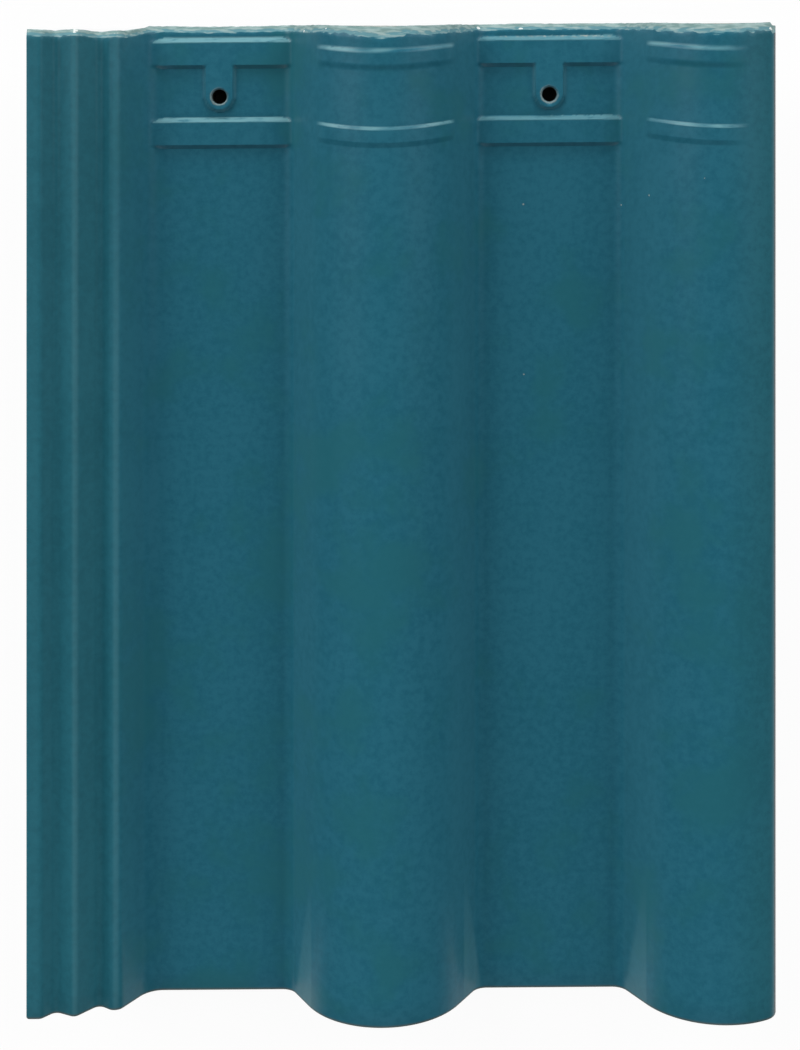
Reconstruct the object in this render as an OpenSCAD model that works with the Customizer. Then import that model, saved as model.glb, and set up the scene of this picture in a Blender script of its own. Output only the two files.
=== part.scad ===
// Interlocking roof tile with two rolls, two flat pans and a ribbed side lock.
// Millimetres. X runs across the tile, +Y points to the head, +Z is the weather face.
// The tile lies on its hanging nibs and nose ribs, which end at Z = 0.

/* [Tile] */
// Overall width, from the lock's edge to the overlapping edge
tile_w = 330; // [310:1:350]
// Overall length, from nose to head
tile_l = 442; // [400:1:460]
// Width of the side lap that one tile covers on the next
lap_w = 30; // [28:0.5:33]
// Thickness of pans and rolls
wall_t = 11; // [9:0.5:13]

/* [Rolls] */
// Rise of a roll's crest over the pans
roll_h = 35; // [33.5:0.5:40]
// Radius of a roll's crest
roll_r = 38.5; // [34:0.5:42]
// Steepness of a roll's flanks
flank_a = 60; // [55:0.5:63]
// Fillet between a flank and a pan
fillet_r = 7; // [4:0.1:9]
// Distance of the overlapping roll's crest from the tile's edge
crest_in = 23; // [20:0.1:25]
// Rounding at the overlapping edge
shoulder_r = 4; // [2:0.5:5]
// Straight run between the overlapping roll's crest and its rounded edge
shoulder_run = 1; // [0.5:0.1:4]

/* [Side lock] */
// Width of the flat rim at the tile's edge
rim_w = 6.8; // [5:0.1:7.5]
// Height of the rim over the pans
rim_z = 25.2; // [24:0.1:26.5]
// Distance of the outer groove from the edge
groove_x = 11.9; // [11:0.1:13]
// Height of the outer groove's floor line
groove_z = 19.2; // [18:0.1:20.5]
// Distance of the outer rib from the edge
rib_x = 21.3; // [20:0.1:22]
// Height of the outer rib's ridge line
rib_z = 23.9; // [22.5:0.1:24.5]
// Height of the inner groove's floor line
gutter_z = 13.7; // [12.5:0.1:15]
// Distance of the inner rib past the inner groove
bank_run = 8.8; // [7.5:0.1:10]
// Height of the inner rib's ridge line
bank_z = 19.9; // [18:0.1:21]
// Rounding of grooves and ribs
lock_r = 3; // [1.5:0.1:3.5]
// Thickness left under the grooves
lock_t = 8; // [6:0.5:9]
// Clearance between a lock and the roll that covers it
lock_gap = 0.5; // [0.3:0.1:1.2]
// Rounding of the tile's bare edges
edge_r = 1.5; // [0.5:0.1:2]

/* [Head] */
// Distance of the first weather bar from the head
bar_in = 5.7; // [3:0.1:7]
// Distance from the first weather bar to the second
bar_pitch = 36.5; // [35:0.1:42]
// Width of a weather bar, slopes included
bar_w = 14.2; // [11:0.1:16]
// Rise of a weather bar over a pan
bar_h = 2; // [1:0.1:3]
// Run of a weather bar's slope towards the head
bar_run = 2.8; // [1.5:0.1:4]
// Run of a weather bar's slope towards the nose
bar_drop = 1.8; // [0.5:0.1:2.5]
// Reach of a weather bar past the flat of its pan, into the fillets
bar_over = 2.3; // [1:0.1:3]
// Distance of the first weather bar on a roll from the head
crown_in = 12; // [8:0.1:15]
// Distance from the first weather bar on a roll to the second
crown_pitch = 34; // [30:0.1:38]
// Width of a weather bar on a roll
crown_w = 9.2; // [6:0.1:11]
// Rise of a weather bar on a roll
crown_h = 1.1; // [0.5:0.1:2]
// Reach of the bar on the overlapping roll past its crest
crown_a = 14; // [8:1:20]
// Radius of a nail hole
hole_r = 3.3; // [2.5:0.1:4]
// Distance of the nail holes from the head
hole_in = 32.7; // [30:0.1:34]
// Width of the broken rim of a nail hole
hole_rim = 1; // [0.5:0.1:1.5]
// Width of the raised tongue around a nail hole
tongue_w = 13.2; // [12:0.1:14]

/* [Underside] */
// Depth of nibs and nose ribs below the pans
nib_d = 9; // [7:0.5:12]
// Width of a hanging nib
nib_w = 40; // [30:1:46]
// Length of a hanging nib at its root
nib_l = 15; // [10:0.5:18]
// Distance of the nibs from the head
nib_in = 5; // [4:0.5:6]
// Draft run on the sloped faces of nibs and ribs
draft = 3; // [1:0.5:4]
// Length of a nose rib at its root
rib_l = 12; // [9:0.5:16]
// Distance of the nose ribs from the nose
rib_in = 14; // [8:0.5:20]

/* [Hidden] */
// Largest angle between two points on a rounded corner
arc_step = 5;
// Depth by which added features sink into the tile
sink = 1;

cover_w = tile_w - lap_w;
pitch = cover_w / 2;
head_y = tile_l / 2;
pan_z = nib_d + wall_t;
slope = tan(flank_a);

// Rolls, measured from the lock's edge
crest_2 = tile_w - crest_in;
crest_1 = crest_2 - pitch;
axis_z = roll_h - roll_r;
roll_b = (axis_z + roll_r / cos(flank_a)) / slope;
// Step of an underside corner that keeps the wall's thickness round a fillet
turn_in = wall_t * tan(flank_a / 2);
// Run of a fillet along its pan
fillet_run = fillet_r * tan(flank_a / 2);

// Foot of the lock's inner bank, where pan 1 begins
bank_x = lap_w + bank_run;
foot_x = bank_x + bank_z / slope;

// Middle of each pan between its rolls, which holes and nibs share
pans_x = [crest_1 - pitch / 2, crest_1 + pitch / 2];
// The two feet that each pan lies between
pans = [[foot_x, crest_1 - roll_b], [crest_1 + roll_b, crest_2 - roll_b]];

// Where two lines cross, each given by a point and a slope
function meet(p, m, q, n) =
    let (x = (q.y - p.y + m * p.x - n * q.x) / (m - n))
    [x, p.y + m * (x - p.x)];

// One corner of an outline, rounded by the radius in its third value
function corner(a, p, b) =
    let (
        here = [p.x, p.y],
        u = ([a.x, a.y] - here) / norm([a.x, a.y] - here),
        v = ([b.x, b.y] - here) / norm([b.x, b.y] - here),
        half = acos(u * v) / 2,
        turn = 180 - 2 * half,
        side = cross(u, v) < 0 ? 1 : -1,
        centre = here + (u + v) / norm(u + v) * p.z / sin(half),
        first = here + u * p.z / tan(half) - centre,
        start = atan2(first.y, first.x),
        steps = ceil(turn / arc_step)
    )
    [for (i = [0 : steps])
        centre + p.z * [cos(start + side * turn * i / steps), sin(start + side * turn * i / steps)]];

// A closed outline with every corner rounded
function rounded(pts) =
    let (n = len(pts))
    [for (i = [0 : n - 1]) each corner(pts[(i + n - 1) % n], pts[i], pts[(i + 1) % n])];

// A crossing with a radius, as an outline's corner
function rounded_at(p, r) = [p.x, p.y, r];

// The lock's upper face, moved by the lap and the clearance for the roll that covers it
function lock_face(dx, dz) = [
    [dx + rim_w, rim_z + dz, lock_r],
    [dx + groove_x, groove_z + dz, lock_r],
    [dx + rib_x, rib_z + dz, lock_r]
];

// A whole roll at x, at a depth t below its weather face
function roll_face(x, t) =
    let (b = roll_b - t * tan(flank_a / 2))
    [
        [x - b, -t, fillet_r + t],
        [x, axis_z + (roll_r - t) / cos(flank_a), roll_r - t],
        [x + b, -t, fillet_r + t]
    ];

// The overlapping roll's weather face, from its foot to the tile's edge
shoulder_a = asin((crest_in - shoulder_r - shoulder_run) / (roll_r - shoulder_r));
shoulder = tan(shoulder_a);
edge_z = axis_z + roll_r / cos(shoulder_a) - crest_in * shoulder;
cover_top = [
    [crest_2 - roll_b, 0, fillet_r],
    rounded_at(meet([crest_2 - roll_b, 0], slope, [tile_w, edge_z], -shoulder), roll_r),
    [tile_w, edge_z, shoulder_r]
];

// The overlapping roll's underside, shaped over the next tile's lock
ceiling_z = rim_z + lock_gap;
cover_foot = [crest_2 - roll_b + turn_in, -wall_t];
lock_over = lock_face(cover_w, lock_gap);
cover_under = [
    [tile_w, gutter_z + lock_gap, edge_r],
    lock_over[2],
    lock_over[1],
    lock_over[0],
    rounded_at(meet(cover_foot, slope, [cover_w, ceiling_z], 0), fillet_r),
    [cover_foot.x, cover_foot.y, fillet_r + wall_t]
];

// The lock's weather face, from the tile's edge to the foot of its bank
lock_top = concat(
    [[0, rim_z, edge_r]],
    lock_face(0, 0),
    [[lap_w, gutter_z, lock_r], [bank_x, bank_z, lock_r], [foot_x, 0, fillet_r]]
);

// The lock's underside, level with both grooves
bed_slope = (gutter_z - groove_z) / (lap_w - groove_x);
bed = [lap_w, gutter_z - lock_t];
lock_foot = [foot_x - turn_in, -wall_t];
lock_under = [
    [lock_foot.x, lock_foot.y, fillet_r + wall_t],
    rounded_at(meet(lock_foot, -slope, bed, bed_slope), lock_r),
    [0, bed.y - bed_slope * bed.x, edge_r]
];

roll_top = roll_face(crest_1, 0);
roll_under = roll_face(crest_1, wall_t);
section = concat(
    lock_top,
    roll_top,
    cover_top,
    cover_under,
    [roll_under[2], roll_under[1], roll_under[0]],
    lock_under
);

// Moves a feature from the lock's edge and the pans' weather face to the tile's place
module on_pan(x, y) {
    translate([x - tile_w / 2, y, pan_z]) children();
}

// A prism along X, with its outline in Y and Z
module across(length) {
    rotate([90, 0, 90]) linear_extrude(length) children();
}

module body() {
    translate([-tile_w / 2, head_y, pan_z])
        rotate([90, 0, 0])
        linear_extrude(tile_l)
        polygon(rounded(section));
}

// A weather bar across the flat of a pan, with a long slope to the head and a short one to the nose
module pan_bar(feet, from_head) {
    end_in = fillet_run - bar_over;
    on_pan(feet[0] + end_in, head_y - from_head)
        across(feet[1] - feet[0] - 2 * end_in)
        polygon([
            [0, -sink],
            [0, 0],
            [-bar_run, bar_h],
            [-bar_w + bar_drop, bar_h],
            [-bar_w, 0],
            [-bar_w, -sink]
        ]);
}

// A weather bar over a roll, turned about the roll's axis from its left flank
module crown_bar(crest, from_head, sweep) {
    on_pan(crest, head_y - from_head + sink)
        translate([0, 0, axis_z])
        rotate([90, 0, 0])
        rotate([0, 0, 90 + flank_a - sweep])
        rotate_extrude(angle = sweep, $fn = 96)
        polygon([
            [roll_r - sink, 0],
            [roll_r + crown_h, sink + crown_h],
            [roll_r + crown_h, sink + crown_w - bar_drop],
            [roll_r - sink, sink + crown_w]
        ]);
}

// The raised tongue from the first bar to its round end about a nail hole
module tongue(x) {
    on_pan(x, head_y - hole_in)
        translate([0, 0, -sink])
        linear_extrude(bar_h + sink)
        union() {
            circle(d = tongue_w, $fn = 48);
            translate([-tongue_w / 2, 0]) square([tongue_w, hole_in - bar_in - bar_run]);
        }
}

// A nail hole with its broken upper rim
module nail_hole(x) {
    on_pan(x, head_y - hole_in) {
        translate([0, 0, -wall_t - sink])
            cylinder(r = hole_r, h = wall_t + bar_h + 2 * sink, $fn = 48);
        translate([0, 0, bar_h - hole_rim])
            cylinder(r1 = hole_r, r2 = hole_r + 2 * hole_rim, h = 2 * hole_rim, $fn = 48);
    }
}

// A hanging nib, with a square face to the batten and a draft to the head
module nib(x) {
    on_pan(x - nib_w / 2, head_y - nib_in)
        across(nib_w)
        polygon([
            [0, sink - wall_t],
            [0, -wall_t],
            [-draft, -wall_t - nib_d],
            [-nib_l, -wall_t - nib_d],
            [-nib_l, sink - wall_t]
        ]);
}

// A nose rib across the flat of a pan's underside
module nose_rib(feet) {
    on_pan(feet[0] + fillet_run, -head_y + rib_in)
        across(feet[1] - feet[0] - 2 * fillet_run)
        polygon([
            [0, sink - wall_t],
            [0, -wall_t],
            [draft, -wall_t - nib_d],
            [rib_l - draft, -wall_t - nib_d],
            [rib_l, -wall_t],
            [rib_l, sink - wall_t]
        ]);
}

module tile() {
    color("steelblue")
    difference() {
        union() {
            body();
            for (step = [0, bar_pitch], feet = pans) pan_bar(feet, bar_in + step);
            for (step = [0, crown_pitch]) {
                crown_bar(crest_1, crown_in + step, 2 * flank_a);
                crown_bar(crest_2, crown_in + step, flank_a + crown_a);
            }
            for (x = pans_x) {
                tongue(x);
                nib(x);
            }
            for (feet = pans) nose_rib(feet);
        }
        for (x = pans_x) nail_hole(x);
    }
}

tile();
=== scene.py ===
# %% [markdown]
# # A glazed clay roof tile
# The real object is one pressed and fired piece of clay: two rolls, two flat pans between them, a ribbed
# lock along the left edge, weather bars and nail holes at the head. A teal glaze covers the weather face
# and the grey body shows wherever the glaze is broken.
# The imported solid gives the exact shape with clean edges. This lesson draws the same section again as one
# soft, finely divided mesh, so that glaze can round the edges and the head can be chipped.

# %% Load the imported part
import math

import bmesh
import bpy
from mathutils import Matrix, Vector, noise


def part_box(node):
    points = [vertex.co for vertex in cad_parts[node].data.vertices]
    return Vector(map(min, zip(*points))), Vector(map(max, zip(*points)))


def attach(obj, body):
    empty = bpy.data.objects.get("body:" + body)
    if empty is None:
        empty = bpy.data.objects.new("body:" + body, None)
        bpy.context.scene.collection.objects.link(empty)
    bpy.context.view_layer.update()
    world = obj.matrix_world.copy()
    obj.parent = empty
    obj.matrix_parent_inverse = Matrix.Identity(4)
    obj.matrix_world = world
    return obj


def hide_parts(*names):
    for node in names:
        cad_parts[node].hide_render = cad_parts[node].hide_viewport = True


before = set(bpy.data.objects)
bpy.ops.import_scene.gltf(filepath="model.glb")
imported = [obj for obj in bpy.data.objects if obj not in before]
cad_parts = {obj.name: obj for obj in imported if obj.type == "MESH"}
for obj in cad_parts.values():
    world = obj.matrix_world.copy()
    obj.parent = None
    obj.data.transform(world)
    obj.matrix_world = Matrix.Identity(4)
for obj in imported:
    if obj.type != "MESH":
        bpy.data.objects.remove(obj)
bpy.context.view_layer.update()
low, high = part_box("tile")
print("tile box", [round(c, 4) for c in high - low])

# %% [markdown]
# ## The section
# Tiles of this kind keep one section from nose to head. An outline made of a few corners, each with its
# own rounding, is easier to read and to change than a cloud of points. The sizes are the part's own, with
# softer roundings where the wet glaze has filled or run off a corner.
# x starts at the lock's edge and z at the pans' weather face, so the box places the outline.

# %% Sizes of the section
MM = 0.001
lap = 30 * MM
wall = 11 * MM
nib_depth = 9 * MM
roll_rise = 35 * MM
roll_radius = 38.5 * MM
flank = math.radians(60)
fillet = 7 * MM
crest_from_edge = 23 * MM
shoulder_round = 9 * MM
shoulder_flat = 0.2 * MM
edge_round = 1.5 * MM
lock_round = 3 * MM
bank_round = 4.5 * MM
foot_round = 11 * MM
lock_floor = 8 * MM
lock_gap = 0.5 * MM
rim_width, rim_height = 6.8 * MM, 25.2 * MM
groove_at, groove_height = 11.9 * MM, 19.2 * MM
rib_at, rib_height = 21.3 * MM, 23.9 * MM
gutter_height = 13.7 * MM
bank_run, bank_height = 8.8 * MM, 19.9 * MM

tile_width = high.x - low.x
tile_length = high.y - low.y
pan_level = low.z + nib_depth + wall
cover = tile_width - lap
slope = math.tan(flank)
roll_axis = roll_rise - roll_radius
crest_right = tile_width - crest_from_edge
crest_left = crest_right - cover / 2
roll_half = (roll_axis + roll_radius / math.cos(flank)) / slope
bank_at = lap + bank_run
lock_foot = bank_at + bank_height / slope
print("rolls at", round(crest_left, 4), round(crest_right, 4), "pan from", round(lock_foot, 4))

# %% [markdown]
# Each corner is a place and a rounding. The rolls and the lock appear twice, on the weather face and again
# on the underside, so each is a function. Where two slanting runs meet, their crossing gives the corner.

# %% Corners of the section
def meet(p, m, q, n):
    """Where two lines cross, each given by a point and a slope."""
    x = (q[1] - p[1] + m * p[0] - n * q[0]) / (m - n)
    return x, p[1] + m * (x - p[0])


def roll_corners(x, depth):
    """Foot, crest and foot of a whole roll, at a depth below its weather face."""
    half = roll_half - depth * math.tan(flank / 2)
    crest = roll_axis + (roll_radius - depth) / math.cos(flank)
    return [
        (x - half, -depth, fillet + depth),
        (x, crest, roll_radius - depth),
        (x + half, -depth, fillet + depth),
    ]


def lock_corners(along, up):
    """Rim, groove and rib, which the lock shows and the overlapping roll repeats underneath."""
    return [
        (along + rim_width, rim_height + up, lock_round),
        (along + groove_at, groove_height + up, lock_round),
        (along + rib_at, rib_height + up, lock_round),
    ]


turn_in = wall * math.tan(flank / 2)
shoulder = math.asin(
    (crest_from_edge - shoulder_round - shoulder_flat) / (roll_radius - shoulder_round)
)
edge_height = roll_axis + roll_radius / math.cos(shoulder) - crest_from_edge * math.tan(shoulder)
cover_foot = (crest_right - roll_half + turn_in, -wall)
under_foot = (lock_foot - turn_in, -wall)
bed_slope = (gutter_height - groove_height) / (lap - groove_at)
bed = (lap, gutter_height - lock_floor)
cover_crest = meet(
    (crest_right - roll_half, 0), slope, (tile_width, edge_height), -math.tan(shoulder)
)
ceiling = meet(cover_foot, slope, (cover, rim_height + lock_gap), 0)
bed_end = meet(under_foot, -slope, bed, bed_slope)

weather_face = [
    (0, rim_height, edge_round),
    *lock_corners(0, 0),
    (lap, gutter_height, lock_round),
    (bank_at, bank_height, bank_round),
    (lock_foot, 0, foot_round),
    *roll_corners(crest_left, 0),
    (crest_right - roll_half, 0, fillet),
    (*cover_crest, roll_radius),
    (tile_width, edge_height, shoulder_round),
]
underside = [
    (tile_width, gutter_height + lock_gap, edge_round),
    *reversed(lock_corners(cover, lock_gap)),
    (*ceiling, fillet),
    (*cover_foot, fillet + wall),
    *reversed(roll_corners(crest_left, wall)),
    (*under_foot, fillet + wall),
    (*bed_end, lock_round),
    (0, bed[1] - bed_slope * bed[0], edge_round),
]
section = weather_face + underside
print(len(section), "corners in the section")

# %% [markdown]
# ## Drawing the outline
# A straight run is the last vertex extruded to new places. A rounded corner is that vertex spun about the
# corner's centre, which leaves a true arc of edges behind. This is the same as drawing with a ruler and a
# pair of compasses. Every edge becomes a whole column of faces later, so the weather face, which gets the
# fine relief, is drawn in short edges and the underside in long ones.

# %% Draw the outline at the head
fewest_steps = 3


def place(x, z):
    """A point of the section at the tile's head, in the frame of the part."""
    return Vector((low.x + x, high.y, pan_level + z))


def draw_outline(bm, corners, fine_corners, short, long):
    """Draw a closed outline with rounded corners. The first few corners get short edges."""
    first = last = None
    for i, (x, z, radius) in enumerate(corners):
        step = short if i < fine_corners else long
        here = place(x, z)
        back = (place(*corners[i - 1][:2]) - here).normalized()
        ahead = (place(*corners[(i + 1) % len(corners)][:2]) - here).normalized()
        half = back.angle(ahead) / 2
        centre = here + (back + ahead).normalized() * radius / math.sin(half)
        start = here + back * radius / math.tan(half)
        end = here + ahead * radius / math.tan(half)
        if last is None:
            first = last = bm.verts.new(start)
        else:
            begin = last.co.copy()
            pieces = max(1, round((start - begin).length / step))
            for k in range(1, pieces + 1):
                last = bmesh.ops.extrude_vert_indiv(bm, verts=[last])["verts"][0]
                last.co = begin.lerp(start, k / pieces)
        turn = math.pi - 2 * half
        arc = bmesh.ops.spin(
            bm,
            geom=[last],
            cent=centre,
            axis=(start - centre).cross(end - centre).normalized(),
            angle=turn,
            steps=max(fewest_steps, math.ceil(turn * radius / step)),
        )
        last = next(g for g in arc["geom_last"] if isinstance(g, bmesh.types.BMVert))
    bmesh.ops.contextual_create(bm, geom=[last, first])


short_edge, long_edge = 0.8 * MM, 3 * MM
bm = bmesh.new()
draw_outline(bm, section, len(weather_face), short_edge, long_edge)
print("outline of", len(bm.verts), "vertices")

# %% [markdown]
# ## Extruding the tile
# The ring is extruded from the head to the nose in steps. Steps are short where the bars and tongues lie
# and long over the plain rest, which keeps the mesh light. Extra steps sit exactly where a bar starts,
# tops out and drops, so its edges stay crisp.

# %% Rows from head to nose
bar_in, bar_pitch = 5.7 * MM, 36.5 * MM
bar_width, bar_rise = 14.2 * MM, 1.6 * MM
bar_run, bar_drop = 2.1 * MM, 1.6 * MM
crown_in, crown_pitch = 7.8 * MM, 34 * MM
crown_width, crown_rise = 9 * MM, 0.6 * MM
crown_run, crown_drop = 1.1 * MM, 2.2 * MM
bars = (bar_in, bar_in + bar_pitch)
crowns = (crown_in, crown_in + crown_pitch)
past_bars = 2 * MM
head_depth = bars[1] + bar_width + past_bars
fine, coarse = 0.7 * MM, 12 * MM
closest = 0.25 * MM

crisp = [0, tile_length]
for bar, crown in zip(bars, crowns):
    crisp += [bar, bar + bar_run, bar + bar_width - bar_drop, bar + bar_width]
    crisp += [crown, crown + crown_run, crown + crown_width - crown_drop, crown + crown_width]
loose = [fine * i for i in range(1, round(head_depth / fine))]
loose += [
    head_depth + coarse * i for i in range(int((tile_length - head_depth) / coarse) + 1)
]
loose = [d for d in loose if all(abs(d - c) > closest for c in crisp)]
rows = sorted(crisp + loose)

ring = list(bm.edges)
for above, below in zip(rows, rows[1:]):
    made = bmesh.ops.extrude_edge_only(bm, edges=ring)["geom"]
    fresh = [g for g in made if isinstance(g, bmesh.types.BMVert)]
    bmesh.ops.translate(bm, verts=fresh, vec=(0, above - below, 0))
    fresh = set(fresh)
    ring = [
        g
        for g in made
        if isinstance(g, bmesh.types.BMEdge) and g.verts[0] in fresh and g.verts[1] in fresh
    ]
bmesh.ops.recalc_face_normals(bm, faces=bm.faces)
bm.normal_update()
print(len(rows), "rows,", len(bm.faces), "faces")

# %% [markdown]
# ## Raising the bars and tongues
# Weather bars are ridges that stop wind-blown rain at the lap. They are moved out of the mesh rather than
# set on it, because a glaze flows over such edges and leaves no seam. On a pan a bar sinks a little to its
# ends, which run into the fillets. A tongue is a low step that runs from the first bar round a nail hole.

# %% Bars and tongues on the pans
hole_radius = 3.3 * MM
hole_in = 32.7 * MM
tongue_half = 6.6 * MM
tongue_edge = 0.9 * MM
bar_over, bar_end, end_sink = 6 * MM, 12 * MM, 0.4
fillet_run = fillet * math.tan(flank / 2)
foot_run = foot_round * math.tan(flank / 2)
holes_x = (crest_left - cover / 4, crest_left + cover / 4)
pans = (
    (lock_foot + foot_run, crest_left - roll_half - fillet_run),
    (crest_left + roll_half + fillet_run, crest_right - roll_half - fillet_run),
)


def clamp(value):
    """A value kept between 0 and 1."""
    return max(0.0, min(1.0, value))


def bar_profile(d, start, run, width, drop):
    """1 on a bar's flat, 0 beside it, with a slope to the head and a steep edge to the nose."""
    return clamp(min((d - start) / run, (start + width - d) / drop))


def bar_share(x, d):
    """How much of a bar's height a place on a pan has."""
    inside = max(min(x - a, b - x) for a, b in pans)
    ends = 1 - end_sink * clamp((bar_over - inside) / bar_end) if inside > -bar_over else 0.0
    return ends * max(bar_profile(d, start, bar_run, bar_width, bar_drop) for start in bars)


def tongue_share(x, d):
    """How much of a tongue's height a place has."""
    if d < bar_in + bar_run:
        return 0.0
    reach = min(math.hypot(x - hole_x, max(0.0, d - hole_in)) for hole_x in holes_x)
    return clamp((tongue_half - reach) / tongue_edge + 0.5)


print("flat pans", [round(b - a, 4) for a, b in pans], "wide")

# %% [markdown]
# On a roll a bar stands off the roll's axis and fades out at its ends, so it is given by two angles. On the
# overlapping roll it fades slowly to the right and ends before the tile's edge.

# %% Bars on the rolls
crown_fade, edge_fade = math.radians(6), math.radians(20)
crown_spans = (
    (crest_left, math.radians(-50), math.radians(56), crown_fade),
    (crest_right, math.radians(-60), math.radians(14), edge_fade),
)


def crown_share(x, z):
    """The crest of the roll that a place lies on, and how much of the roll's bar it carries."""
    for crest, left, right, fade in crown_spans:
        angle = math.atan2(x - crest, z - roll_axis)
        on_roll = abs(math.hypot(x - crest, z - roll_axis) - roll_radius) < closest
        if on_roll and left <= angle <= right:
            return crest, clamp((angle - left) / crown_fade) * clamp((right - angle) / fade)
    return None, 0.0


print(len(crown_spans), "rolls with", len(crowns), "bars each")

# %% [markdown]
# Every vertex of the weather face near the head is then moved. Where a bar runs into a fillet, the two
# heights are blended. The slopes that face the head get a painted highlight, a pale colour for their glint,
# on the rolls in patches, and the tongues' edges are rubbed pale. An attribute keeps where, for the finish.

# %% Relief of the weather face
facing_up = 0.1
end_blend = 1.2 * MM
left_glint, right_glint, crown_glint, tongue_rub = 1.0, 0.65, 1.0, 0.3
patch_size, patch_stretch = 11 * MM, 3
patch_mean, patch_swing = 0.6, 1.3


def soft_max(a, b, blend):
    """The larger of two heights, rounded where they cross."""
    return (a + b + math.hypot(a - b, blend)) / 2


def on_slope(d, start, run):
    """1 on a bar's slope towards the head, 0 elsewhere."""
    return float(start - closest / 2 < d < start + run + closest / 2)


rub_and_glint = bm.verts.layers.float.new("rub_and_glint")
broken = bm.verts.layers.float.new("broken")
top = [v for v in bm.verts if v.normal.z > facing_up]
for v in top:
    x, z, d = v.co.x - low.x, v.co.z - pan_level, high.y - v.co.y
    if d > head_depth:
        continue
    bar, tongue = bar_share(x, d), tongue_share(x, d)
    share = max(bar, tongue)
    rise = bar_rise * share
    if share:
        v.co.z = pan_level + soft_max(z, rise, end_blend * share)
    # The bar slopes facing the head get a painted highlight, and the tongues' edges a rubbed pale line.
    if rise > z:
        halfway_up = 4 * tongue * (1 - tongue)
        tongue_line = tongue_rub * halfway_up * (1 - bar)
        pan_glint = left_glint if x < crest_left else right_glint
        v[rub_and_glint] = max(tongue_line, pan_glint * max(on_slope(d, start, bar_run) for start in bars))
    crest, share = crown_share(x, z)
    if share:
        patch = noise.noise(Vector((x, patch_stretch * d, 0)) / patch_size)
        patch = clamp(patch_mean + patch_swing * patch)
        slope_here = max(on_slope(d, start, crown_run) for start in crowns)
        # On the rolls the painted highlight of the bar slopes comes in patches.
        v[rub_and_glint] = crown_glint * share * patch * slope_here
        rise = max(bar_profile(d, start, crown_run, crown_width, crown_drop) for start in crowns)
        v.co += Vector((x - crest, 0, z - roll_axis)).normalized() * crown_rise * share * rise
print("relief over", len(top), "weather-face vertices")

# %% [markdown]
# ## A hand-pressed surface and a broken head
# The head edge has crumbled, most of all on the rolls and the lock, where it stands back, and the right
# corner is knocked off. Two functions say where the edge runs and how wide a strip of glaze is broken along
# it.

# %% Line of the broken head
roll_back, lock_back = 4.7 * MM, 3.7 * MM
lock_turn, lock_up = 8 * MM, 0.1
corner_back, corner_width, corner_turn = 1.3 * MM, 3.4 * MM, MM
pan_strip, roll_strip = 3.6 * MM, 3.9 * MM
pan_ragged, roll_ragged = 0.5 * MM, 1.5 * MM


def stands_back(x):
    """How far the head stands back from its straight line, and how far up a roll a place is."""
    if x < lock_foot:
        return lock_back * clamp((lock_foot - x) / lock_turn), lock_up
    share = max(max(0.0, 1 - ((x - crest) / roll_half) ** 2) for crest in (crest_left, crest_right))
    corner = corner_back * clamp((x - tile_width + corner_width) / corner_turn)
    return roll_back * share + corner, share


def strip_width(up_roll, chip, crumb):
    """How far from the head the glaze is broken, wider and more ragged on the rolls than on the pans."""
    mean = pan_strip + (roll_strip - pan_strip) * up_roll
    swing = pan_ragged + (roll_ragged - pan_ragged) * up_roll
    return mean + swing * (chip + crumb / 2)


print("head stands back", round(stands_back(crest_left)[0], 4), "on the left roll")

# %% [markdown]
# No pressed tile is truly flat: a very slow, shallow swell makes the reflections wander. Near the edge the
# mesh is worn down by noise, and how far it is worn is kept in an attribute, so that the finish can thin
# the glaze in the same places. The bars bow with the edge, those on the rolls a little more than it.

# %% Swell, bowed head and chips
swell_depth, swell_size = 0.18 * MM, 70 * MM
crown_bow = 2.6 * MM
bowed_to, straight_from = 60 * MM, 130 * MM
chip_size, chip_seed, crumb_size = 14 * MM, 7 * MM, 2.6 * MM
chip_depth, chip_mean, chip_swing = 1.3 * MM, 0.95, 0.6
edge_loss = 0.6 * MM
loss_mean, loss_by_chip, loss_by_crumb = 0.3, 0.6, 0.4


def eased(share):
    """A share from 0 to 1 with soft ends."""
    return share * share * (3 - 2 * share)


for v in bm.verts:
    x, z, d = v.co.x - low.x, v.co.z - pan_level, high.y - v.co.y
    wave = noise.noise(Vector((x, d, z)) / swell_size)
    chip = noise.noise(Vector((x, chip_seed, 0)) / chip_size)
    crumb = noise.noise(Vector((x, z, d)) / crumb_size)
    back, up_roll = stands_back(x)
    if v.normal.z > facing_up:
        worn = clamp(1 - d / strip_width(up_roll, chip, crumb))
        v[broken] = worn
        v.co.z -= chip_depth * worn * (chip_mean + chip_swing * crumb * (1 - worn))
        swell = swell_depth * (1 + wave) / 2
        v.co.z -= swell * clamp(d / coarse) * clamp((tile_length - d) / coarse)
    if x > lock_foot:
        back += crown_bow * up_roll * clamp(d / crown_in)
    v.co.y -= back * eased(clamp((straight_from - d) / (straight_from - bowed_to)))
    if d < closest:
        v.co.y -= edge_loss * clamp(loss_mean + loss_by_chip * chip + loss_by_crumb * crumb)
print("head chipped")

# %% [markdown]
# ## Closing the ends
# The open ends are filled with one face each. A narrow inset keeps the chips in a band round the head's
# face, and the nose gets a small rounded edge, as a wire leaves when it cuts wet clay.

# %% Fill and soften the ends
head_band, nose_round = 0.9 * MM, 0.9 * MM
filled = bmesh.ops.holes_fill(bm, edges=[e for e in bm.edges if e.is_boundary], sides=0)["faces"]
bmesh.ops.recalc_face_normals(bm, faces=bm.faces)
head_face = max(filled, key=lambda f: f.calc_center_median().y)
nose_face = min(filled, key=lambda f: f.calc_center_median().y)
bmesh.ops.inset_region(bm, faces=[head_face], thickness=head_band)
bmesh.ops.bevel(
    bm,
    geom=list(nose_face.edges),
    offset=nose_round,
    segments=3,
    profile=0.5,
    affect="EDGES",
    material=-1,
    clamp_overlap=True,
)
print("closed mesh of", len(bm.faces), "faces")

# %% [markdown]
# A bmesh is only a workbench. To be seen it becomes the mesh of an object, which keeps the attributes too.

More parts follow.
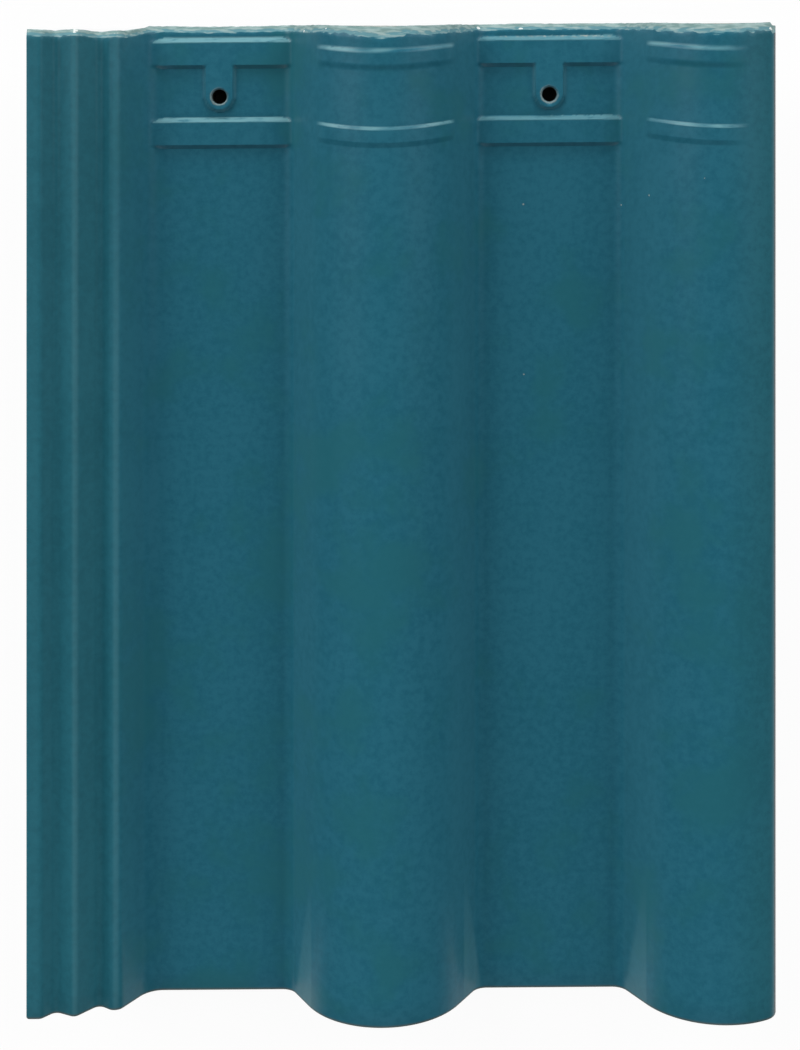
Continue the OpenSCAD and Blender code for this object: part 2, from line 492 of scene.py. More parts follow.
# %% Make the tile's object
def make_object(name, bm):
    """Turn a bmesh into an object at the origin."""
    mesh = bpy.data.meshes.new(name)
    bm.to_mesh(mesh)
    bm.free()
    obj = bpy.data.objects.new(name, mesh)
    bpy.context.collection.objects.link(obj)
    return obj


tile = make_object("glazed_tile", bm)
print("tile object with", len(tile.data.vertices), "vertices")

# %% [markdown]
# ## Nibs, ribs and nail holes
# Two nibs hang the tile on its batten and two low ribs under the nose rest on the course below. Their sides
# to head and nose slope, because a pressed shape has to leave its mould, and only a nib's face to the batten
# is upright. All four are blocks that reach a little into the clay above them.

# %% Nibs and ribs
nib_width, nib_length, nib_in = 40 * MM, 15 * MM, 5 * MM
rib_length, rib_in = 12 * MM, 14 * MM
draft, sunk, block_round = 3 * MM, 2 * MM, 0.9 * MM


def block(name, x, y, width, length, draft_head, draft_nose):
    """A drafted block under a pan, bevelled, sunk a little into the clay."""
    depth = nib_depth + sunk
    bm = bmesh.new()
    made = bmesh.ops.create_cube(bm, size=1)["verts"]
    bmesh.ops.scale(bm, vec=(width, length, depth), verts=made)
    for v in made:
        if v.co.z < 0:
            v.co.y += -draft_head if v.co.y > 0 else draft_nose
    bmesh.ops.translate(bm, vec=(low.x + x, y, low.z + depth / 2), verts=made)
    soft = [e for e in bm.edges if min(v.co.z for v in e.verts) < low.z + nib_depth / 2]
    bmesh.ops.bevel(
        bm, geom=soft, offset=block_round, segments=3, profile=0.5, affect="EDGES", material=-1
    )
    return make_object(name, bm)


joined = []
nib_y = high.y - nib_in - nib_length / 2
rib_y = low.y + rib_in + rib_length / 2
for hole_x, (pan_from, pan_to) in zip(holes_x, pans):
    joined.append(block("nib", hole_x, nib_y, nib_width, nib_length, draft, 0))
    rib_x, rib_width = (pan_from + pan_to) / 2, pan_to - pan_from
    joined.append(block("rib", rib_x, rib_y, rib_width, rib_length, draft, draft))
print(len(joined), "blocks")

# %% [markdown]
# A nail hole is cut by a drill of the right radius. Its mouth is flared and uneven, because the glaze
# breaks away round a punched hole, and the right one has a notch towards the nose. A circle of edges,
# extruded upwards level by level, gives such a drill.

# %% Drills for the nail holes
mouth = pan_level + bar_rise
rim_depth, rim_out = 0.8 * MM, 1.0 * MM
drill_over = 6 * MM
rim_mean, rim_swing, rim_lumps, hole_seed = 0.75, 0.5, 1.7, 40
notches, notch_power = (0.0, 1.4 * MM), 20
flares = (
    (mouth - rim_depth, 0.0),
    (mouth - rim_depth / 3, 0.6),
    (mouth + rim_depth / 4, 1.0),
    (mouth + drill_over, 1.0),
)


def drill(name, x, notch):
    """A cutter for a nail hole, with a flared and uneven mouth and a notch towards the nose."""
    bm = bmesh.new()
    made = bmesh.ops.create_circle(bm, radius=hole_radius, segments=64)["verts"]
    centre = Vector((low.x + x, high.y - hole_in, low.z))
    bmesh.ops.translate(bm, vec=centre, verts=made)
    for level, flare in flares:
        edges = [e for e in bm.edges if e.is_wire or e.is_boundary]
        edges = [e for e in edges if all(v in made for v in e.verts)]
        grown = bmesh.ops.extrude_edge_only(bm, edges=edges)["geom"]
        made = [g for g in grown if isinstance(g, bmesh.types.BMVert)]
        for v in made:
            out = Vector((v.co.x - centre.x, v.co.y - centre.y, 0)).normalized()
            lump = noise.noise(out * rim_lumps + Vector((x * hole_seed, 0, 0)))
            uneven = rim_mean + rim_swing * lump
            cut = notch * max(0.0, -out.y) ** notch_power
            v.co = centre + out * (hole_radius + flare * (rim_out * uneven + cut))
            v.co.z = level
    bmesh.ops.holes_fill(bm, edges=[e for e in bm.edges if e.is_boundary], sides=0)
    bmesh.ops.recalc_face_normals(bm, faces=bm.faces)
    return make_object(name, bm)


cutters = [drill("drill", hole_x, notch) for hole_x, notch in zip(holes_x, notches)]
print(len(cutters), "drills")

# %% [markdown]
# Nibs and ribs grow out of the same clay, so Booleans join them to the tile and cut the holes. The manifold
# solver is the quickest, and every shape here is closed, as it asks.

# %% Join and cut
def boolean(obj, other, operation):
    """Apply one Boolean to an object and remove the other shape."""
    step = obj.modifiers.new(operation.lower(), "BOOLEAN")
    step.object = other
    step.operation = operation
    step.solver = "MANIFOLD"
    solved = obj.evaluated_get(bpy.context.evaluated_depsgraph_get())
    mesh = bpy.data.meshes.new_from_object(solved)
    obj.modifiers.clear()
    obj.data = mesh
    bpy.data.objects.remove(other)


for piece in joined:
    boolean(tile, piece, "UNION")
for piece in cutters:
    boolean(tile, piece, "DIFFERENCE")
print("finished tile:", sum(len(p.vertices) - 2 for p in tile.data.polygons), "triangles")

# %% [markdown]
# ## A slight lean
# The real tile left its press a little out of square: its sides are parallel, but the head and the nose
# climb towards the right. The lean is a shear of the finished mesh. The mesh is shortened by as much, so it
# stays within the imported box.

# %% Lean the tile
lean = 0.0075
slack = 0.1 * MM
crease = math.radians(38)
shorten = 1 - (lean * tile_width / 2 + slack) / (tile_length / 2)


def leaned(x, y):
    """Where the lean takes a place along the tile."""
    return y * shorten + lean * x


for v in tile.data.vertices:
    v.co.y = leaned(v.co.x, v.co.y)
    for i in range(3):
        v.co[i] = min(max(v.co[i], low[i]), high[i])
tile.data.shade_smooth()
tile.data.set_sharp_from_angle(angle=crease)
print("leaned by", round(lean * tile_width, 5))

# %% [markdown]
# ## The finish
# One material covers the piece, as on the real tile: a satin teal glaze, and bare grey clay where there is
# none. Masks decide between them, made from the place on the tile, from the face's direction and from the
# chip attribute. Effects that both finishes use, such as mottling, are node groups with named sockets.

# %% Helpers for node trees
def feed(tree, socket, value):
    """Link another socket to an input, or set the input to a plain value."""
    if isinstance(value, bpy.types.NodeSocket):
        tree.links.new(value, socket)
    else:
        socket.default_value = value


def add(tree, kind, **inputs):
    """Add a shader node. Names with a capital feed its inputs, and the others set its properties."""
    node = tree.nodes.new(kind)
    for name, value in inputs.items():
        if name[0].isupper():
            feed(tree, node.inputs[name.replace("_", " ")], value)
        else:
            setattr(node, name, value)
    return node


def math_node(tree, operation, a, b=0.5):
    """One math step between two sockets or numbers."""
    node = add(tree, "ShaderNodeMath", operation=operation)
    feed(tree, node.inputs[0], a)
    feed(tree, node.inputs[1], b)
    return node.outputs[0]


def times(tree, a, b):
    """The product of two sockets or numbers. For masks, this is where both hold."""
    return math_node(tree, "MULTIPLY", a, b)


def largest(tree, first, *others):
    """The largest of some sockets or numbers. For masks, this is where any one holds."""
    for other in others:
        first = math_node(tree, "MAXIMUM", first, other)
    return first


def ramp(tree, value, start, end):
    """0 below start, 1 above end, smooth between them. Start may be the larger."""
    limits = {"From_Min": start, "From_Max": end}
    node = add(tree, "ShaderNodeMapRange", interpolation_type="SMOOTHSTEP", Value=value, **limits)
    return node.outputs["Result"]


def mix_colour(tree, factor, a, b):
    """Blend two colours by a factor. A Mix node's sockets 6 and 7 are its colours, and output 2 too."""
    node = add(tree, "ShaderNodeMix", data_type="RGBA")
    for i, value in ((0, factor), (6, a), (7, b)):
        feed(tree, node.inputs[i], value)
    return node.outputs[2]


def new_group(name, sockets):
    """An empty shader node group with named inputs and outputs."""
    group = bpy.data.node_groups.new(name, "ShaderNodeTree")
    for label, direction, kind in sockets:
        group.interface.new_socket(label, in_out=direction, socket_type=kind)
    return group, group.nodes.new("NodeGroupInput"), group.nodes.new("NodeGroupOutput")


print("node helpers ready")

# %% [markdown]
# ### Mottling
# A sprayed glaze is never one colour. It has broad clouds, faint streaks along the way it was drawn
# through the spray, and a fine grain from the clay beneath. Where it breaks at the head it comes off in
# flakes that lie along the edge. Each is one noise, stretched or not, and each goes out by itself so that
# colour, gloss and bump can use them in different amounts.

# %% Group: mottling
mottling, start, end = new_group(
    "Mottling",
    [
        ("Place", "INPUT", "NodeSocketVector"),
        ("Clouds", "OUTPUT", "NodeSocketFloat"),
        ("Streaks", "OUTPUT", "NodeSocketFloat"),
        ("Grain", "OUTPUT", "NodeSocketFloat"),
        ("Flakes", "OUTPUT", "NodeSocketFloat"),
    ],
)
where = start.outputs["Place"]
clouds = add(mottling, "ShaderNodeTexNoise", Vector=where, Scale=22.0, Detail=4.0, Roughness=0.6)
drawn = add(mottling, "ShaderNodeMapping", Vector=where, Scale=(70.0, 5.0, 70.0))
streaks = add(mottling, "ShaderNodeTexNoise", Vector=drawn.outputs[0], Scale=1.0, Detail=3.0)
grain = add(mottling, "ShaderNodeTexNoise", Vector=where, Scale=300.0, Detail=5.0, Roughness=0.7)
split = add(mottling, "ShaderNodeMapping", Vector=where, Scale=(170.0, 800.0, 300.0))
flakes = add(mottling, "ShaderNodeTexNoise", Vector=split.outputs[0], Scale=1.0, Detail=3.0)
named = (("Clouds", clouds), ("Streaks", streaks), ("Grain", grain), ("Flakes", flakes))
for name, node in named:
    mottling.links.new(node.outputs["Fac"], end.inputs[name])
print("group", mottling.name)

# %% [markdown]
# ### Specks
# Here and there a grain of pale body or dust shows through as a bright point. A Voronoi pattern gives one
# point to a cell. A random colour per cell then keeps only a few of them.

# %% Group: specks
specks, start, end = new_group(
    "Specks",
    [
        ("Place", "INPUT", "NodeSocketVector"),
        ("Spacing", "INPUT", "NodeSocketFloat"),
        ("Share", "INPUT", "NodeSocketFloat"),
        ("Size", "INPUT", "NodeSocketFloat"),
        ("Mask", "OUTPUT", "NodeSocketFloat"),
    ],
)
density = math_node(specks, "DIVIDE", 1.0, start.outputs["Spacing"])
cells = add(specks, "ShaderNodeTexVoronoi", Vector=start.outputs["Place"], Scale=density)
pick = add(specks, "ShaderNodeSeparateColor", Color=cells.outputs["Color"])
chosen = math_node(specks, "LESS_THAN", pick.outputs[0], start.outputs["Share"])
small = math_node(specks, "LESS_THAN", cells.outputs["Distance"], start.outputs["Size"])
specks.links.new(times(specks, chosen, small), end.inputs["Mask"])
print("group", specks.name)

# %% [markdown]
# ### Bare clay
# The glaze is missing on the cut ends, under the tile and round the nail holes. Each place is a mask from
# 0 to 1, and the largest wins. A little noise frays their borders, so that no border is a ruled line.

# %% Group: bare clay on the ends and underneath
bare, start, end = new_group(
    "Bare clay",
    [
        ("Place", "INPUT", "NodeSocketVector"),
        ("Facing", "INPUT", "NodeSocketVector"),
        ("Mask", "OUTPUT", "NodeSocketFloat"),
        ("Bore shade", "OUTPUT", "NodeSocketFloat"),
    ],
)
fray = add(bare, "ShaderNodeTexNoise", Vector=start.outputs["Place"], Scale=450.0, Detail=3.0)
fray = math_node(bare, "SUBTRACT", fray.outputs["Fac"], 0.5)


def frayed(value, amount):
    """A value with some of the noise added to it."""
    return math_node(bare, "ADD", value, times(bare, fray, amount))


facing = add(bare, "ShaderNodeSeparateXYZ", Vector=start.outputs["Facing"])
spot = add(bare, "ShaderNodeSeparateXYZ", Vector=start.outputs["Place"])
downward = ramp(bare, frayed(facing.outputs["Z"], 0.2), 0.0, -0.2)
hanging = ramp(bare, spot.outputs["Z"], low.z + nib_depth + MM, low.z + nib_depth)
end_on = ramp(bare, frayed(math_node(bare, "ABSOLUTE", facing.outputs["Y"]), 0.4), 0.6, 0.75)
along = math_node(bare, "ABSOLUTE", spot.outputs["Y"])
near_end = ramp(bare, along, tile_length / 2 - 8 * MM, tile_length / 2 - 6.5 * MM)
masks = [downward, hanging, times(bare, end_on, near_end)]
print("group", bare.name, "with", len(masks), "masks")

# %% [markdown]
# Round a hole the bare ring is strongest to the nose and a little to the left, where the glaze broke away
# and where a painted highlight stands for the lit side of the rim.
# Painted shade, near black, darkens the bore below its rim, and goes out as a mask of its own.

# %% Bare clay at the nail holes
ring_out, ring_full, ring_fray, ring_share = 1.3 * MM, 0.6 * MM, 1.4 * MM, 0.6
to_left, to_nose = -0.5, -0.85
bore_out, bore_full = 0.7 * MM, 0.2 * MM
shade_from, shade_full = 0.35 * MM, 1.0 * MM
deep = ramp(bare, spot.outputs["Z"], mouth - shade_from, mouth - shade_full)
bore_shade = 0.0
for hole_x in holes_x:
    centre = (low.x + hole_x, leaned(low.x + hole_x, high.y - hole_in))
    beside = math_node(bare, "SUBTRACT", spot.outputs["X"], centre[0])
    beyond = math_node(bare, "SUBTRACT", spot.outputs["Y"], centre[1])
    square = math_node(bare, "ADD", math_node(bare, "POWER", beside, 2), math_node(bare, "POWER", beyond, 2))
    away = math_node(bare, "SQRT", square)
    # Painted highlight: the ring grows stronger on the side of the rim that faces the light.
    lower = math_node(bare, "ADD", times(bare, beside, to_left), times(bare, beyond, to_nose))
    lower = ramp(bare, math_node(bare, "DIVIDE", lower, away), -1.6, 0.7)
    ring = ramp(bare, frayed(away, ring_fray), hole_radius + ring_out, hole_radius + ring_full)
    masks.append(times(bare, times(bare, ring, lower), ring_share))
    # Painted shade inside the bore, below its rim.
    bore = ramp(bare, away, hole_radius + bore_out, hole_radius + bore_full)
    bore_shade = largest(bare, bore_shade, times(bare, bore, deep))
bare.links.new(largest(bare, *masks, bore_shade), end.inputs["Mask"])
bare.links.new(bore_shade, end.inputs["Bore shade"])
print("group", bare.name, "with", len(masks), "masks and the soiled bores")

# %% [markdown]
# ### Thin glaze
# Wet glaze draws away from ridges, and there the body shines through. The lock's rim, rib and bank and the
# tile's right edge are such ridges. They run straight along the tile, so the place across it finds them.
# Each line has a place, half its width and a share, and streaks break it up.

# %% Group: thin glaze on ridges
ridges, start, end = new_group(
    "Ridges",
    [
        ("Place", "INPUT", "NodeSocketVector"),
        ("Streaks", "INPUT", "NodeSocketFloat"),
        ("Mask", "OUTPUT", "NodeSocketFloat"),
    ],
)
spot = add(ridges, "ShaderNodeSeparateXYZ", Vector=start.outputs["Place"])
ridge_lines = (
    (rim_width / 2, 3.4 * MM, 0.2),
    (rib_at, 2.0 * MM, 1.0),
    (bank_at - 0.6 * MM, 2.0 * MM, 1.0),
    (tile_width, 4 * MM, 0.4),
)
ridge_flat = 0.2
total = 0.0
for ridge_x, half_width, share in ridge_lines:
    beside = math_node(ridges, "ABSOLUTE", math_node(ridges, "SUBTRACT", spot.outputs["X"], low.x + ridge_x))
    line = times(ridges, ramp(ridges, beside, half_width, ridge_flat * half_width), share)
    total = largest(ridges, total, line)
patchy = times(ridges, total, ramp(ridges, start.outputs["Streaks"], 0.1, 0.6))
ridges.links.new(patchy, end.inputs["Mask"])
print("group", ridges.name)

# %% [markdown]
# ### The tile's material
# The layers are mixed in the order in which they lie: mottled glaze, then what thins or darkens it, with the
# painted highlights, reflections and shade, the broken strip at the head, and bare clay over all. The masks
# that they share come first. Two of them are the attributes that were kept while the mesh was shaped, so
# that colour and shape agree.

# %% Start the material
finish = bpy.data.materials.new("glazed_clay")
finish.use_nodes = True
tree = finish.node_tree
shader = tree.nodes["Principled BSDF"]
where = tree.nodes.new("ShaderNodeTexCoord").outputs["Object"]
surface = tree.nodes.new("ShaderNodeNewGeometry")
worn = add(tree, "ShaderNodeAttribute", attribute_name="broken").outputs["Fac"]
# Painted highlight of the bar slopes, together with the rubbed tongue edges.
rub_glint = add(tree, "ShaderNodeAttribute", attribute_name="rub_and_glint").outputs["Fac"]


def use_group(group, **inputs):
    """Place a node group in the material and feed its inputs."""
    return add(tree, "ShaderNodeGroup", node_tree=group, **inputs).outputs


def weighted(*pairs):
    """The sum of sockets, each times its weight."""
    total = 0.0
    for socket, weight in pairs:
        total = math_node(tree, "ADD", total, times(tree, socket, weight))
    return total


marks = use_group(mottling, Place=where)
unglazed = use_group(bare, Place=where, Facing=surface.outputs["True Normal"])
clay = unglazed["Mask"]
ridge = use_group(ridges, Place=where, Streaks=marks["Streaks"])["Mask"]
spot = add(tree, "ShaderNodeSeparateXYZ", Vector=where).outputs
across = spot["X"]
print("material", finish.name, "started with", len(tree.nodes), "nodes")

# %% [markdown]
# ### Mottled glaze
# The teal wanders between a deep and a pale tone with the clouds, streaks and grain, and turns to sea green
# in the darker clouds. The lock and the overlapping edge are a little greener than the rest.

# %% Mottled glaze
glaze_deep = (0.0104, 0.100, 0.147, 1)
glaze_pale = (0.0162, 0.1195, 0.172, 1)
glaze_sea = (0.0150, 0.114, 0.140, 1)
green_deep = (0.0133, 0.0985, 0.131, 1)
green_pale = (0.0168, 0.1175, 0.155, 1)
cloud_tone, streak_tone, grain_tone, tone_down = 0.5, 0.25, 4.2, 1.925
sea_share = 0.7
green_from, green_full = 30 * MM, 2 * MM

cloudy = ramp(tree, marks["Clouds"], 0.3, 0.7)
streaky = ramp(tree, marks["Streaks"], 0.3, 0.7)
tone = weighted((cloudy, cloud_tone), (streaky, streak_tone), (marks["Grain"], grain_tone))
tone = math_node(tree, "SUBTRACT", tone, tone_down)
glaze = mix_colour(tree, tone, glaze_deep, glaze_pale)
sea = times(tree, ramp(tree, marks["Clouds"], 0.52, 0.36), sea_share)
glaze = mix_colour(tree, sea, glaze, glaze_sea)
on_lock = ramp(tree, across, low.x + lock_foot, low.x + lap)
on_edge = ramp(tree, across, high.x - green_from, high.x - green_full)
green = mix_colour(tree, tone, green_deep, green_pale)
glaze = mix_colour(tree, largest(tree, on_lock, on_edge), glaze, green)
print("mottled glaze:", len(tree.nodes), "nodes")

# %% [markdown]
# ### Thin glaze, painted light and dust
# The glaze is paler where it is thin, on the ridges. The slopes of the bars that face the head get a painted
# highlight, and the steep flanks, very slightly, painted light. A few specks of pale dust lie on it, and the
# overlapping edge ends in a dark line of painted shade on its bare clay.

# %% Thin glaze, painted light, dust and the dark edge
# A pale glaze: thin glaze on the ridges and at the head, and the colour of painted highlights and
# reflections.
thin_glaze_and_highlight = (0.105, 0.250, 0.285, 1)
clay_pale = (0.29, 0.325, 0.30, 1)
edge_clay_shade = (0.060, 0.066, 0.064, 1)
ridge_share, rub_glint_share, flank_light_share, dust_share = 0.2, 1.0, 0.08, 0.8
side_from, side_full = 2.0 * MM, 0.8 * MM

patchy = ramp(tree, marks["Flakes"], 0.15, 0.5)
aslant = add(tree, "ShaderNodeSeparateXYZ", Vector=surface.outputs["Normal"]).outputs["X"]
# Painted light: the steep flanks are made a little paler, as if lit more.
lit_flanks = ramp(tree, math_node(tree, "ABSOLUTE", aslant), 0.6, 0.86)
for mask, share in ((ridge, ridge_share), (times(tree, rub_glint, patchy), rub_glint_share), (lit_flanks, flank_light_share)):
    glaze = mix_colour(tree, times(tree, mask, share), glaze, thin_glaze_and_highlight)
dust = use_group(specks, Place=where, Spacing=11 * MM, Share=0.05, Size=0.04)["Mask"]
glaze = mix_colour(tree, times(tree, dust, dust_share), glaze, clay_pale)
# Painted shade: a dark line along the overlapping edge, its bare clay as if in shade.
at_side = ramp(tree, across, high.x - side_from, high.x - side_full)
glaze = mix_colour(tree, at_side, glaze, edge_clay_shade)
print("thin glaze and dust:", len(tree.nodes), "nodes")

# %% [markdown]
# ### The nose
# At the feet of the rolls a painted reflection of the white ground lies in pale wedges that widen towards
# the nose. Each wedge starts at a distance from its crest, on one side of it, and its other border slants.
# The nose itself ends in a dark line. Both follow the tile's lean, so the lean is taken out of the distance
# from the nose.

# %% Wedges and dark line at the nose
nose_dark = (0.075, 0.095, 0.085, 1)
wedge_width, wedge_height, flare_share = 8 * MM, 62 * MM, 0.24
wedge_feet = (
    (crest_left, -1, 32 * MM),
    (crest_left, 1, 36 * MM),
    (crest_right, -1, 33 * MM),
)
foot_soft, slant_soft = 0.4 * MM, MM
nose_from, nose_full, nose_share = 1.7 * MM, 0.5 * MM, 0.8

squared = math_node(tree, "SUBTRACT", spot["Y"], times(tree, across, lean))
nose_up = math_node(tree, "SUBTRACT", squared, low.y * shorten)
# Painted reflection of the white ground, in wedges at the rolls' feet.
painted_flare = 0.0
for crest, side, inner in wedge_feet:
    outer = inner + wedge_width
    out = times(tree, math_node(tree, "SUBTRACT", across, low.x + crest), side)
    slanted = math_node(tree, "ADD", out, times(tree, nose_up, wedge_width / wedge_height))
    past_foot = ramp(tree, out, inner - foot_soft, inner + foot_soft)
    within = ramp(tree, slanted, outer + slant_soft, outer - slant_soft)
    painted_flare = largest(tree, painted_flare, times(tree, past_foot, within))
painted_flare = times(tree, painted_flare, ramp(tree, nose_up, wedge_height, 0.2 * wedge_height))
glaze = mix_colour(tree, times(tree, painted_flare, flare_share), glaze, thin_glaze_and_highlight)
at_nose = ramp(tree, nose_up, nose_from, nose_full)
glaze = mix_colour(tree, times(tree, at_nose, nose_share), glaze, nose_dark)
print(len(wedge_feet), "wedges at the nose:", len(tree.nodes), "nodes")

# %% [markdown]
# ### The broken head
# Towards the head the glaze first thins and flakes, then gives way to a pale strip of body with white crumbs
# in it, and painted glints among them. The chip attribute rises to the edge, and the flakes make the borders
# of each zone ragged.

# %% Broken head
strip_pale = (0.30, 0.41, 0.40, 1)
strip_dark = (0.17, 0.275, 0.265, 1)
crumb_and_glint_white = (0.72, 0.76, 0.73, 1)
fringe_share, flake_share = 0.7, 0.5
crumb_lie = (0.45, 1.0, 1.0)

fringe = times(tree, marks["Flakes"], ramp(tree, worn, 0.0, 0.12))
ragged = weighted((worn, 1.0), (fringe, fringe_share))
near_head = ramp(tree, ragged, 0.42, 0.56)
at_head = ramp(tree, ragged, 0.78, 0.9)
flaked = times(tree, ramp(tree, marks["Flakes"], 0.5, 0.6), flake_share)
glaze = mix_colour(tree, near_head, glaze, mix_colour(tree, flaked, thin_glaze_and_highlight, strip_pale))
strip = mix_colour(tree, ramp(tree, marks["Flakes"], 0.35, 0.65), strip_dark, strip_pale)
glaze = mix_colour(tree, at_head, glaze, strip)
on_ridge = times(tree, ramp(tree, ridge, 0.5, 0.8), ramp(tree, worn, 0.2, 0.5))
on_ridge = times(tree, on_ridge, ramp(tree, marks["Flakes"], 0.48, 0.56))
laid = add(tree, "ShaderNodeMapping", Vector=where, Scale=crumb_lie).outputs[0]
crumbs_and_glints = use_group(specks, Place=laid, Spacing=2.2 * MM, Share=0.06, Size=0.3)["Mask"]
# White crumbs at the head, in part painted glints.
sparkle = times(tree, crumbs_and_glints, ramp(tree, worn, 0.02, 0.3))
glaze = mix_colour(tree, largest(tree, sparkle, on_ridge), glaze, crumb_and_glint_white)
print("broken head:", len(tree.nodes), "nodes")

# %% [markdown]
# ### Clay, gloss and grain
# Bare clay is laid over all. Roughness and bump follow the same masks as the colour, so bare clay is dull
# and grainy while the glaze has a satin gloss.

# %% Clay, gloss and grain
clay_dark = (0.19, 0.22, 0.20, 1)
# Near black painted shade, for the bores and for the ground below the holes.
painted_shade = (0.016, 0.015, 0.012, 1)
glaze_rough, cloud_rough, head_rough, clay_rough = 0.33, 0.08, 0.2, 0.92
glaze_grain, clay_grain = 0.035 * MM, 0.12 * MM

body = mix_colour(tree, ramp(tree, marks["Grain"], 0.35, 0.65), clay_dark, clay_pale)
# The bores get their painted shade.
body = mix_colour(tree, unglazed["Bore shade"], body, painted_shade)
tree.links.new(mix_colour(tree, clay, glaze, body), shader.inputs["Base Color"])

dull = largest(tree, clay, at_head)
gloss = math_node(tree, "ADD", weighted((cloudy, cloud_rough), (near_head, head_rough)), glaze_rough)
rough = add(tree, "ShaderNodeMapRange", Value=dull, To_Min=gloss, To_Max=clay_rough)
tree.links.new(rough.outputs["Result"], shader.inputs["Roughness"])
shader.inputs["Specular IOR Level"].default_value = 0.2

depth = add(tree, "ShaderNodeMapRange", Value=dull, To_Min=glaze_grain, To_Max=clay_grain)
height = times(tree, marks["Grain"], depth.outputs["Result"])
bump = add(tree, "ShaderNodeBump", Height=height, Strength=0.6, Distance=1.0)
tree.links.new(bump.outputs["Normal"], shader.inputs["Normal"])
tile.data.materials.clear()
tile.data.materials.append(finish)
print("material", finish.name, "with", len(tree.nodes), "nodes")

# %% [markdown]
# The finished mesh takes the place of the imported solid, and moves with the part's one body.

# %% Hand the tile to the part
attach(tile, "root")
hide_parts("tile")
print("tile rides on root")

# %% [markdown]
# ## Stage, light and camera
# The picture is a plain catalogue view from above on a white ground. The ground is matt paper that keeps
# the tile's shadow.

# %% Ground
ground_half = 6
bm = bmesh.new()
bmesh.ops.create_grid(bm, x_segments=1, y_segments=1, size=ground_half)
ground = make_object("ground", bm)
ground.location.z = low.z
print("ground at", round(ground.location.z, 4))

# %% [markdown]
# Its base colour is a white sheet a little larger than the tile, on a grey studio floor. Below the nail
# holes it is painted dark, a painted shade that makes them look deep. Every mask is a distance from the
# tile's outline or from a hole.

# %% Colour of the ground
sheet_white, floor_grey = (0.86, 0.86, 0.86, 1), (0.30, 0.30, 0.30, 1)
sheet_near, sheet_end = 60 * MM, 130 * MM
dark_out, dark_full = 16 * MM, 12 * MM
paper = bpy.data.materials.new("white_ground")
paper.use_nodes = True
tree = paper.node_tree
matt = tree.nodes["Principled BSDF"]
matt.inputs["Roughness"].default_value = 0.9
place_on_ground = tree.nodes.new("ShaderNodeTexCoord").outputs["Object"]
spot = add(tree, "ShaderNodeSeparateXYZ", Vector=place_on_ground)
beside = math_node(tree, "ABSOLUTE", spot.outputs["X"])
beyond = math_node(tree, "ABSOLUTE", spot.outputs["Y"])


def outside(inner, outer):
    """0 nearer than a first distance beyond the tile's outline, 1 farther than a second one."""
    x = ramp(tree, beside, tile_width / 2 + inner, tile_width / 2 + outer)
    y = ramp(tree, beyond, tile_length / 2 + inner, tile_length / 2 + outer)
    return largest(tree, x, y)


far = outside(sheet_near, sheet_end)
sheet = mix_colour(tree, far, sheet_white, floor_grey)
# Painted shade: the ground is near black below each nail hole.
for hole_x in holes_x:
    hole = (low.x + hole_x, leaned(low.x + hole_x, high.y - hole_in), 0)
    away = add(tree, "ShaderNodeVectorMath", operation="DISTANCE", Vector=place_on_ground)
    away.inputs[1].default_value = hole
    sheet = mix_colour(tree, ramp(tree, away.outputs["Value"], dark_out, dark_full), sheet, painted_shade)
tree.links.new(sheet, matt.inputs["Base Color"])
ground.data.materials.append(paper)
print("ground colour:", len(tree.nodes), "nodes")

# %% [markdown]
# A white background could come from more light, but that would bleach the glaze. Here the ground glows
# white only to the camera, outside the tile's outline, and in reflections, on the sheet round the tile. A
# small share stays matt, and keeps a trace of the shadow.

# %% White to the camera
white_share = 0.95
under_edge = 8 * MM
mirror_from = 15 * MM
rays = tree.nodes.new("ShaderNodeLightPath")
mirrored = largest(tree, rays.outputs["Is Glossy Ray"], rays.outputs["Is Transmission Ray"])
clear = outside(-under_edge, 0)
near = math_node(tree, "SUBTRACT", outside(mirror_from, sheet_near), far)
seen = times(tree, rays.outputs["Is Camera Ray"], clear)
share = times(tree, largest(tree, seen, times(tree, mirrored, near)), white_share)
glow = add(tree, "ShaderNodeEmission", Color=(1, 1, 1, 1), Strength=1.0)
white = tree.nodes.new("ShaderNodeMixShader")
for socket, source in zip(white.inputs, (share, matt.outputs[0], glow.outputs[0])):
    tree.links.new(source, socket)
tree.links.new(white.outputs[0], tree.nodes["Material Output"].inputs["Surface"])
print("material", paper.name, "with", len(tree.nodes), "nodes")

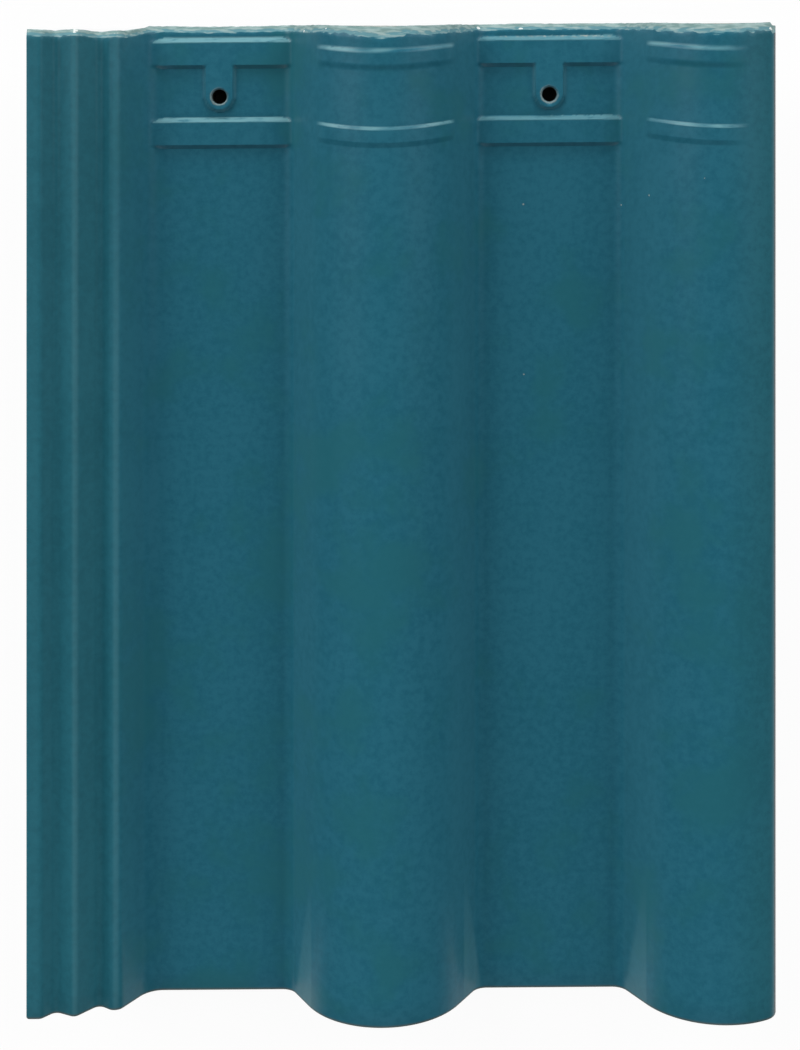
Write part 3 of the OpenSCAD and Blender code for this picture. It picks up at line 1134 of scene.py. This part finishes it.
# %% [markdown]
# ### Lamps
# The strong lamps stand on the head's side: rolls and pans mirror only what lies across the tile or towards
# the nose, so these lamps light the glaze without a glare on it. The low one meets the slopes of the weather
# bars, which face the head, and brightens them. It isn't mirrored, or the whole face would glare when it is
# seen along the tile from the nose. A weak one beyond the nose opens the shadows. All stand far off, so that
# head and nose are lit alike.

# %% Lamps and world
def softbox(name, at, size_x, size_y, watts):
    """An area lamp that faces the middle of the tile."""
    lamp = bpy.data.lights.new(name, "AREA")
    lamp.shape = "RECTANGLE"
    lamp.size, lamp.size_y, lamp.energy = size_x, size_y, watts
    obj = bpy.data.objects.new(name, lamp)
    bpy.context.collection.objects.link(obj)
    obj.location = at
    obj.rotation_euler = (Vector((0, 0, pan_level)) - obj.location).to_track_quat("-Z", "Y").to_euler()
    return obj


softbox("key_left", (-6.8, 5.4, 5.0), 4.8, 8.0, 804)
softbox("fill_right", (6.8, 5.4, 5.0), 4.8, 8.0, 574)
head_low = softbox("head_low", (0.0, 9.8, 2.2), 7.2, 2.4, 688)
head_low.visible_glossy = False
softbox("nose_low", (0.0, -9.1, 4.1), 7.2, 2.4, 196)
world = bpy.data.worlds.new("studio")
bpy.context.scene.world = world
world.use_nodes = True
sky = world.node_tree.nodes["Background"]
sky.inputs["Color"].default_value = (0.9, 0.95, 1, 1)
sky.inputs["Strength"].default_value = 0.172
bpy.context.scene.view_settings.view_transform = "Standard"
print(len(bpy.data.lights), "lamps and the world", world.name)

# %% [markdown]
# ### Camera
# The camera looks straight down from above the tile's upper half. Its lens is shifted towards the nose
# instead of being tilted, as on a view camera, so that the tile's sides stay parallel.

# %% Camera
camera_x, camera_y, camera_up = 0.0134, 0.135, 0.723
camera_data = bpy.data.cameras.new("camera")
camera = bpy.data.objects.new("camera", camera_data)
bpy.context.collection.objects.link(camera)
camera.location = (camera_x, camera_y, pan_level + camera_up)
camera_data.sensor_width = 36
camera_data.lens = 54.45
camera_data.shift_x, camera_data.shift_y = -0.03, -0.3
camera_data.clip_start, camera_data.clip_end = 0.01, 50
bpy.context.scene.camera = camera
print("camera", camera_up, "m over the pans")
